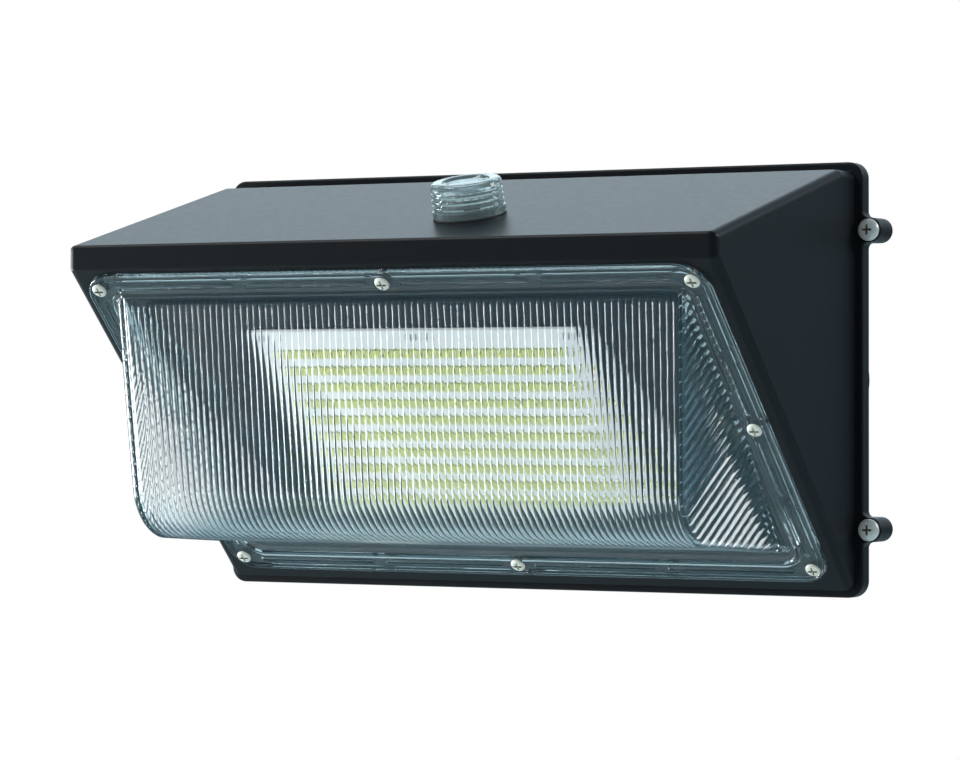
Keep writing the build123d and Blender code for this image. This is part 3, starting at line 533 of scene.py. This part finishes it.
def lens():
    """The clear lens: flange with rim, beads, blocks and pockets, and the hollow ribbed dome."""
    plate = [(0.5, FLANGE_LOW), (0.0, FLANGE_LOW + 0.5), (0.0, FLANGE_TOP), (0.1, FLANGE_TOP + 0.3),
             (0.35, FLANGE_TOP + 0.55), (0.75, FLANGE_TOP + 0.65), (1.15, FLANGE_TOP + 0.55),
             (1.4, FLANGE_TOP + 0.3), (1.5, FLANGE_TOP)]
    slab = loop_solid(FLANGE_WIDTH, FLANGE_HEIGHT, FLANGE_CORNER, plate, False)
    piece = mesh_object("lens_clear", *slab)
    beads = [
        loop_solid(FLANGE_WIDTH, FLANGE_HEIGHT, FLANGE_CORNER + extra,
                   bead_profile(margin, wide, high), True)
        for margin, extra, wide, high in (
            (3.3, 0.0, 1.2, FLANGE_TOP + 0.7),
            (10.1, 8.0, 1.0, FLANGE_TOP + 0.7),
            (12.5, 8.0, 1.9, FLANGE_TOP + 1.4))]
    combine(piece, mesh_object("beads", *joined(beads)), "UNION")
    slots, webs = pocket_places()
    combine(piece, mesh_object("tabs", *joined(tabs(webs))), "UNION")
    edges = [slot_ring(length, POCKET_WIDTH, POCKET_EDGE, middle, upright)
             for length, middle, upright in slots]
    combine(piece, mesh_object("pocket_edges", *joined(edges)), "UNION")
    combine(piece, mesh_object("dome_out", *dome(0, DOME_SINK, True)), "UNION")
    for side in (-1, 1):
        combine(piece, clipped_side_ribs(side), "UNION")
    inside = dome(DOME_WALL, FLANGE_TOP - FLANGE_LOW + 1.5, False)
    combine(piece, mesh_object("dome_in", *inside), "DIFFERENCE")
    cutters = [
        slot_solid(length - POCKET_EDGE, POCKET_WIDTH - POCKET_EDGE, FLANGE_TOP - POCKET_DEPTH,
                   FLANGE_TOP + 2, middle, upright)
        for length, middle, upright in slots]
    for place in lens_screw_places():
        cutters.append(disc_solid(place, LENS_SCREW_HOLE, FLANGE_LOW - 1, FLANGE_TOP + 3))
    combine(piece, mesh_object("cutters", *joined(cutters)), "DIFFERENCE")
    seats = [disc_solid(place, LENS_SCREW_SEAT, FLANGE_TOP, FLANGE_TOP + 2)
             for place in lens_screw_places()]
    combine(piece, mesh_object("seats", *joined(seats)), "DIFFERENCE")
    piece.data.transform(BEZEL)
    smooth(piece, 33)
    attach(piece, "door")
    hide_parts("lens")
    return piece


# ---------------------------------------------------------------- light engine

def led_packages():
    """Packages with sides painted dark olive as shade, and a yellow phosphor face, all in one
    piece.
    """
    sides, tops = [], []
    body = [(0.0, BOARD_FACE - 0.05), (0.0, BOARD_FACE + 0.9), (0.06, BOARD_FACE + 0.96)]
    resin = [(0.0, BOARD_FACE + 0.9), (0.0, BOARD_FACE + 0.98), (0.1, BOARD_FACE + 1.03)]
    for row in range(LED_ROWS):
        for column in range(LED_COLUMNS):
            middle = ((column - (LED_COLUMNS - 1) / 2) * LED_COLUMN_PITCH,
                      (row - (LED_ROWS - 1) / 2) * LED_ROW_PITCH - LED_DROP)
            sides.append(loop_solid(*LED_BODY_SIZE, body, False, steps=2, middle=middle))
            tops.append(loop_solid(*LED_RESIN_SIZE, resin, False, steps=3, middle=middle))
    points, faces = joined(sides + tops)
    painted_shade_faces = sum(len(part[1]) for part in sides)
    mesh = bpy.data.meshes.new("led_lamps")
    mesh.from_pydata([tuple(point) for point in points], [], faces)
    mesh.transform(BEZEL)
    piece = bpy.data.objects.new("led_lamps", mesh)
    bpy.context.scene.collection.objects.link(piece)
    # Painted shade: the package bodies, whose sides show, are coloured dark olive for the shade on
    # those sides.
    mesh.materials.append(textured("led_side_painted_shade", (0.34, 0.38, 0.035), 0.45, spread=0.2))
    mesh.materials.append(textured("led_resin", (0.93, 0.95, 0.19), 0.3, spread=0.04))
    for polygon in mesh.polygons:
        polygon.material_index = 0 if polygon.index < painted_shade_faces else 1
    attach(piece, "door")
    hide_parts("led_packages")


# ---------------------------------------------------------------- photocell cap

def photocell_cap():
    """The clear cap: stacked rings outside, fine flutes inside and a sunk window on top."""
    outer = [(17.7, 0.0), (17.7, 2.9), (17.45, 3.15)]
    for ring in range(4):
        low = 3.2 + ring * 2.75
        shrink = ring * 0.09
        outer += [(16.85 - shrink, low + 0.3), (16.8 - shrink, low + 0.85),
                  (17.3 - shrink, low + 1.15), (17.5 - shrink, low + 1.6),
                  (17.5 - shrink, low + 2.3), (17.3 - shrink, low + 2.7)]
    top = [(16.95, 15.0), (16.5, 15.9), (15.7, 16.5), (14.6, 16.7), (12.6, 16.7), (11.7, 16.45),
           (11.1, 15.7), (10.8, 15.2), (10.2, 15.0), (0, 15.0)]
    inner = [(0, 13.3), (14.6, 13.3), (15.4, 12.8), (15.7, 12.0), (15.7, 0.0)]
    profile = inner + outer + top
    depth = [0.0] * 3 + [-0.3] * 2 + [0.0] * (len(profile) - 5)
    points, faces = revolved(profile, CAP_FLUTES * 8, CAP_FLUTES, depth)
    shift = Matrix.Translation(Vector((0, 0, CAP_SEAT)))
    piece = mesh_object("photocell_cover", points, faces, CAP_FRAME @ shift)
    smooth(piece, 35)
    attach(piece, "door")
    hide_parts("photocell_cap")
    paint(piece, clear("clear_cap_plastic", (0.68, 0.77, 0.78), 0.03, 1.49, haze=0.2,
                       haze_colour=(0.26, 0.34, 0.35)))


# ---------------------------------------------------------------- screws

def screw_mesh(shank, head, height, length, span, arm):
    """A pan head with a cross recess over a threaded shank, as a mesh object at the origin."""
    profile = [(0, height), (0.3 * head, 0.985 * height), (0.6 * head, 0.92 * height),
               (0.82 * head, 0.78 * height), (0.94 * head, 0.58 * height), (head, 0.36 * height),
               (head, 0.06 * height), (0.97 * head, 0), (shank, 0)]
    for turn in range(int((length - 1.2) / THREAD_PITCH)):
        low = -0.5 - turn * THREAD_PITCH
        profile += [(shank * 0.84, low), (shank, low - THREAD_PITCH / 2)]
    profile += [(shank * 0.8, -length + 0.5), (shank * 0.55, -length), (0, -length)]
    piece = mesh_object("screw", *revolved(profile, 48))
    deep = 0.62 * height
    for turn in (0, math.pi / 2):
        wide, narrow = span / 2, span / 4
        across = arm / 2
        cos, sin = math.cos(turn), math.sin(turn)
        points = []
        for z, reach, side in ((height - deep, narrow, across * 0.6),
                               (height + 1, wide * 1.15, across)):
            for x, y in ((-reach, -side), (reach, -side), (reach, side), (-reach, side)):
                points.append((x * cos - y * sin, x * sin + y * cos, z))
        faces = [[3, 2, 1, 0], [4, 5, 6, 7], [0, 1, 5, 4], [1, 2, 6, 5], [2, 3, 7, 6], [3, 0, 4, 7]]
        combine(piece, mesh_object("cross", points, faces), "DIFFERENCE")
    smooth(piece, 40)
    return piece


def screws(name, node, body, size, places, finishes):
    """Copies of one screw in one piece, with a finish for the head and the thread, and painted
    shade in the recess.
    """
    head, height = size[1:3]
    model = screw_mesh(*size)
    points, faces, kinds = [], [], []
    for matrix in places:
        base = len(points)
        points += [matrix @ vertex.co for vertex in model.data.vertices]
        for polygon in model.data.polygons:
            faces.append([base + i for i in polygon.vertices])
            middle = polygon.center
            reach = math.hypot(middle.x, middle.y)
            crown = height * (1 - 0.25 * (reach / head) ** 2)
            # Faces inside the cross recess get the painted shade.
            sunk = reach < 0.75 * head and 0.1 * height < middle.z < crown - 0.12 * height
            kinds.append(2 if middle.z < 0 and reach < 0.9 * head else int(sunk))
    mesh = bpy.data.meshes.new(name)
    mesh.from_pydata([tuple(point) for point in points], [], faces)
    piece = bpy.data.objects.new(name, mesh)
    bpy.context.scene.collection.objects.link(piece)
    bpy.data.objects.remove(model)
    smooth(piece, 40)
    for finish in finishes:
        mesh.materials.append(finish)
    for polygon, kind in zip(mesh.polygons, kinds):
        polygon.material_index = kind
    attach(piece, body)
    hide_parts(node)


def all_screws():
    """The eight lens screws, and a door screw in each lug."""
    pale = textured("lens_screw_plating", (0.66, 0.68, 0.6), 0.4, spread=0.04, metallic=0.25)
    # Painted shade: the cross recesses are coloured dark brown for the shade that falls in them.
    recess = textured("screw_recess_painted_shade", (0.12, 0.115, 0.085), 0.5, spread=0.3)
    bright = textured("door_screw_steel", (0.6, 0.66, 0.64), 0.34, spread=0.06, metallic=0.45)
    thread = textured("screw_thread", (0.16, 0.16, 0.15), 0.4, spread=0.2, metallic=0.8)
    seats = [BEZEL @ Matrix.Translation(Vector((x, y, FLANGE_TOP))) for x, y in lens_screw_places()]
    screws("lens_screw_set", "lens_screws", "door", LENS_SCREW, seats,
           (pale, recess, thread))
    for word, body, z in (("upper", "upper_screw", LUG_Z), ("lower", "lower_screw", -LUG_Z)):
        place = tilted_frame((LUG_X, -RIM_FRONT, z), math.pi / 2)
        screws("door_screw_%s_detail" % word, "door_screw_%s" % word, body,
               DOOR_SCREW, [place], (bright, recess, thread))


# ---------------------------------------------------------------- materials

def new_material(name):
    """A new node material with its nodes, links and main shader."""
    made = bpy.data.materials.new(name)
    made.use_nodes = True
    return made, made.node_tree.nodes, made.node_tree.links, made.node_tree.nodes["Principled BSDF"]


def grain(nodes, links, scale, detail, low, high, texture_name):
    """Noise in the object's own coordinates, mapped between two values."""
    place = nodes.new("ShaderNodeTexCoord")
    noise = nodes.new("ShaderNodeTexNoise")
    noise.name = texture_name
    noise.inputs["Scale"].default_value = scale
    noise.inputs["Detail"].default_value = detail
    links.new(place.outputs["Object"], noise.inputs["Vector"])
    span = nodes.new("ShaderNodeMapRange")
    span.inputs["To Min"].default_value = low
    span.inputs["To Max"].default_value = high
    links.new(noise.outputs["Fac"], span.inputs["Value"])
    return noise, span


def textured(name, colour, roughness, spread=0.12, scale=900.0, bump=0.15, bump_scale=1400.0,
             metallic=0.0, specular=0.5, bump_distance=0.0001, edge=0.0):
    """A solid finish with fine colour grain, uneven roughness and a shallow bump.

    With an edge radius, its shader rounds the sharp edges as well.
    """
    made, nodes, links, shader = new_material(name)
    noise, _ = grain(nodes, links, scale, 3.0, 0.0, 1.0, "colour grain")
    ramp = nodes.new("ShaderNodeValToRGB")
    ramp.color_ramp.elements[0].position = 0.3
    ramp.color_ramp.elements[1].position = 0.7
    ramp.color_ramp.elements[0].color = (*[c * (1 - spread) for c in colour], 1)
    ramp.color_ramp.elements[1].color = (*[min(1, c * (1 + spread)) for c in colour], 1)
    links.new(noise.outputs["Fac"], ramp.inputs["Fac"])
    links.new(ramp.outputs["Color"], shader.inputs["Base Color"])
    _, rough = grain(nodes, links, scale / 3, 2.0, roughness * 0.9, min(1, roughness * 1.1),
                     "roughness grain")
    links.new(rough.outputs["Result"], shader.inputs["Roughness"])
    fine, _ = grain(nodes, links, bump_scale, 2.0, 0.0, 1.0, "bump grain")
    relief = nodes.new("ShaderNodeBump")
    relief.inputs["Strength"].default_value = bump
    relief.inputs["Distance"].default_value = bump_distance
    links.new(fine.outputs["Fac"], relief.inputs["Height"])
    if edge:
        rounded = nodes.new("ShaderNodeBevel")
        rounded.inputs["Radius"].default_value = edge
        links.new(rounded.outputs["Normal"], relief.inputs["Normal"])
    links.new(relief.outputs["Normal"], shader.inputs["Normal"])
    shader.inputs["Metallic"].default_value = metallic
    shader.inputs["Specular IOR Level"].default_value = specular
    return made


def clear(name, colour, roughness, ior, haze=0.0, haze_colour=(0.4, 0.82, 1.0)):
    """Clear moulded plastic, hazy where asked. Light for shadows passes straight through it."""
    made, nodes, links, shader = new_material(name)
    _, span = grain(nodes, links, 60.0, 2.0, roughness * 0.5, roughness * 1.5, "roughness grain")
    links.new(span.outputs["Result"], shader.inputs["Roughness"])
    shader.inputs["Base Color"].default_value = (*colour, 1)
    shader.inputs["Transmission Weight"].default_value = 1.0
    shader.inputs["IOR"].default_value = ior
    path = nodes.new("ShaderNodeLightPath")
    through = nodes.new("ShaderNodeBsdfTransparent")
    through.inputs["Color"].default_value = (*[0.5 + 0.5 * c for c in colour], 1)
    mix = nodes.new("ShaderNodeMixShader")
    links.new(path.outputs["Is Shadow Ray"], mix.inputs["Fac"])
    milky = nodes.new("ShaderNodeBsdfDiffuse")
    milky.inputs["Color"].default_value = (*haze_colour, 1)
    veil = nodes.new("ShaderNodeMixShader")
    veil.inputs["Fac"].default_value = haze
    links.new(shader.outputs["BSDF"], veil.inputs[1])
    links.new(milky.outputs["BSDF"], veil.inputs[2])
    links.new(veil.outputs["Shader"], mix.inputs[1])
    links.new(through.outputs["BSDF"], mix.inputs[2])
    links.new(mix.outputs["Shader"], nodes["Material Output"].inputs["Surface"])
    return made


def paint(piece, made):
    """Gives a piece one material."""
    piece.data.materials.clear()
    piece.data.materials.append(made)


def finish_nodes():
    """Gives every CAD node its finish."""
    coat = textured("satin_powder_coat", (0.0038, 0.005, 0.0064), 0.4, spread=0.25, bump=0.3,
                    specular=0.26, edge=0.0007)
    rubber = textured("silicone_rubber", (0.03, 0.03, 0.032), 0.7)
    steel = textured("stainless", (0.62, 0.64, 0.63), 0.3, spread=0.05, metallic=1.0)
    white_steel = textured("bright_screw", (0.72, 0.72, 0.66), 0.42, spread=0.05, metallic=0.6)
    board = textured("white_solder_mask", (0.9, 0.925, 0.93), 0.35, spread=0.01)
    phosphor = textured("phosphor", (0.78, 0.82, 0.04), 0.4, spread=0.06)
    pad = textured("thermal_pad", (0.4, 0.42, 0.44), 0.8)
    aluminium = textured("driver_aluminium", (0.72, 0.73, 0.75), 0.38, spread=0.05, metallic=1.0)
    black = textured("black_plastic", (0.035, 0.035, 0.04), 0.5)
    cream = textured("white_plastic", (0.82, 0.82, 0.78), 0.45, spread=0.03)
    green = textured("green_zinc", (0.08, 0.38, 0.14), 0.35, metallic=0.7)
    glass = clear("clear_cap_plastic", (0.93, 0.97, 0.97), 0.02, 1.49)
    by_slot = {
        "powder_coat": coat, "plug_metal": coat, "rubber": rubber, "stainless_steel": steel,
        "lens_screw_steel": white_steel, "white_board": board, "led_phosphor": phosphor,
        "grey_pad": pad, "driver_aluminium": aluminium, "black_plastic": black,
        "white_plastic": cream, "green_screw": green, "clear_cap": glass, "clear_lens": glass}
    slots = {row["node"]: row["material_slot"] for row in frame["record"]["subparts"]}
    for node, piece in frame["nodes"].items():
        paint(piece, by_slot[slots[node]])


# ---------------------------------------------------------------- studio

def studio():
    """The view settings, the world, the lamps and the floor."""
    scene = bpy.context.scene
    scene.view_settings.view_transform = "Standard"
    world = bpy.data.worlds.new("studio")
    scene.world = world
    world.use_nodes = True
    nodes, links = world.node_tree.nodes, world.node_tree.links
    base = nodes["Background"]
    base.inputs["Color"].default_value = (*FILL, 1)
    white = nodes.new("ShaderNodeBackground")
    white.inputs["Color"].default_value = (1, 1, 1, 1)
    mirrored = nodes.new("ShaderNodeBackground")
    links.new(mirrored_colour(nodes, links), mirrored.inputs["Color"])
    path = nodes.new("ShaderNodeLightPath")
    seen = larger(nodes, links, path.outputs["Is Camera Ray"], path.outputs["Is Transmission Ray"])
    scattered = above_half(nodes, links, path.outputs["Diffuse Depth"])
    bounced = above_half(nodes, links, path.outputs["Glossy Depth"])
    pick = pick_light(nodes, links, seen, base.outputs["Background"], white.outputs["Background"])
    pick = pick_light(nodes, links, bounced, pick, mirrored.outputs["Background"])
    pick = pick_light(nodes, links, scattered, pick, base.outputs["Background"])
    links.new(pick, nodes["World Output"].inputs["Surface"])
    for name, setting in LAMPS.items():
        lamp(name, *setting)
    floor()


def mirrored_colour(nodes, links):
    """The room's colour by direction: a pale backdrop that fades into a dim room."""
    place = nodes.new("ShaderNodeTexCoord")
    toward = nodes.new("ShaderNodeVectorMath")
    toward.operation = "DOT_PRODUCT"
    toward.inputs[1].default_value = BACKDROP_WAY
    links.new(place.outputs["Generated"], toward.inputs[0])
    span = nodes.new("ShaderNodeMapRange")
    span.interpolation_type = "SMOOTHSTEP"
    span.inputs["From Min"].default_value = BACKDROP_EDGE
    span.inputs["From Max"].default_value = BACKDROP_FULL
    links.new(toward.outputs["Value"], span.inputs["Value"])
    mix = nodes.new("ShaderNodeMix")
    mix.data_type = "RGBA"
    first, second = [i for i in mix.inputs if i.type == "RGBA"]
    first.default_value = (*ROOM, 1)
    second.default_value = (*BACKDROP, 1)
    links.new(span.outputs["Result"], mix.inputs[0])
    return [o for o in mix.outputs if o.type == "RGBA"][0]


def above_half(nodes, links, value):
    """One where the value is above a half."""
    made = nodes.new("ShaderNodeMath")
    made.operation = "GREATER_THAN"
    made.inputs[1].default_value = 0.5
    links.new(value, made.inputs[0])
    return made.outputs["Value"]


def pick_light(nodes, links, factor, off, on):
    """One shader where the factor is zero, the other where it is one."""
    mix = nodes.new("ShaderNodeMixShader")
    links.new(factor, mix.inputs["Fac"])
    links.new(off, mix.inputs[1])
    links.new(on, mix.inputs[2])
    return mix.outputs["Shader"]


def larger(nodes, links, first, second):
    """The larger of two values."""
    made = nodes.new("ShaderNodeMath")
    made.operation = "MAXIMUM"
    links.new(first, made.inputs[0])
    links.new(second, made.inputs[1])
    return made.outputs["Value"]


def lamp(name, place, size, power, colour):
    """A rectangular lamp that faces the light fitting."""
    light = bpy.data.lights.new(name, "AREA")
    light.color = colour
    light.shape = "RECTANGLE"
    light.size, light.size_y = size
    light.energy = power
    made = bpy.data.objects.new(name, light)
    made.location = place
    made.rotation_euler = (Vector(LAMP_TARGET) - Vector(place)).to_track_quat("-Z", "Y").to_euler()
    bpy.context.scene.collection.objects.link(made)


def floor():
    """A plain floor below the light fitting."""
    corners = ((-1, -1), (1, -1), (1, 1), (-1, 1))
    points = [(x * FLOOR_HALF, y * FLOOR_HALF, FLOOR_LEVEL) for x, y in corners]
    mesh = bpy.data.meshes.new("studio_floor")
    mesh.from_pydata(points, [], [(0, 1, 2, 3)])
    made = bpy.data.objects.new("studio_floor", mesh)
    bpy.context.scene.collection.objects.link(made)
    paint(made, floor_finish())


def floor_finish():
    """A pale floor that glossy surfaces mirror as a dim teal one."""
    made = textured("pale_floor", (0.76, 0.86, 0.9), 0.8, spread=0.02, scale=40.0)
    nodes, links = made.node_tree.nodes, made.node_tree.links
    path = nodes.new("ShaderNodeLightPath")
    dim = nodes.new("ShaderNodeBsdfDiffuse")
    dim.inputs["Color"].default_value = (0.3, 0.42, 0.46, 1)
    mixed = pick_light(nodes, links, path.outputs["Is Glossy Ray"],
                       nodes["Principled BSDF"].outputs["BSDF"], dim.outputs["BSDF"])
    links.new(mixed, nodes["Material Output"].inputs["Surface"])
    return made


def camera():
    """The camera of the photograph, aimed without any shift."""
    lens_data = bpy.data.cameras.new("camera")
    lens_data.lens = CAMERA_LENS
    lens_data.sensor_width = 36
    made = bpy.data.objects.new("camera", lens_data)
    made.location = CAMERA_PLACE
    made.rotation_euler = [math.radians(angle) for angle in CAMERA_TURN]
    bpy.context.scene.collection.objects.link(made)
    bpy.context.scene.camera = made


camera()
studio()
finish_nodes()
led_packages()
photocell_cap()
all_screws()
paint(lens(), clear("clear_lens_plastic", (0.965, 0.985, 0.985), 0.005, 1.5, haze=0.012))
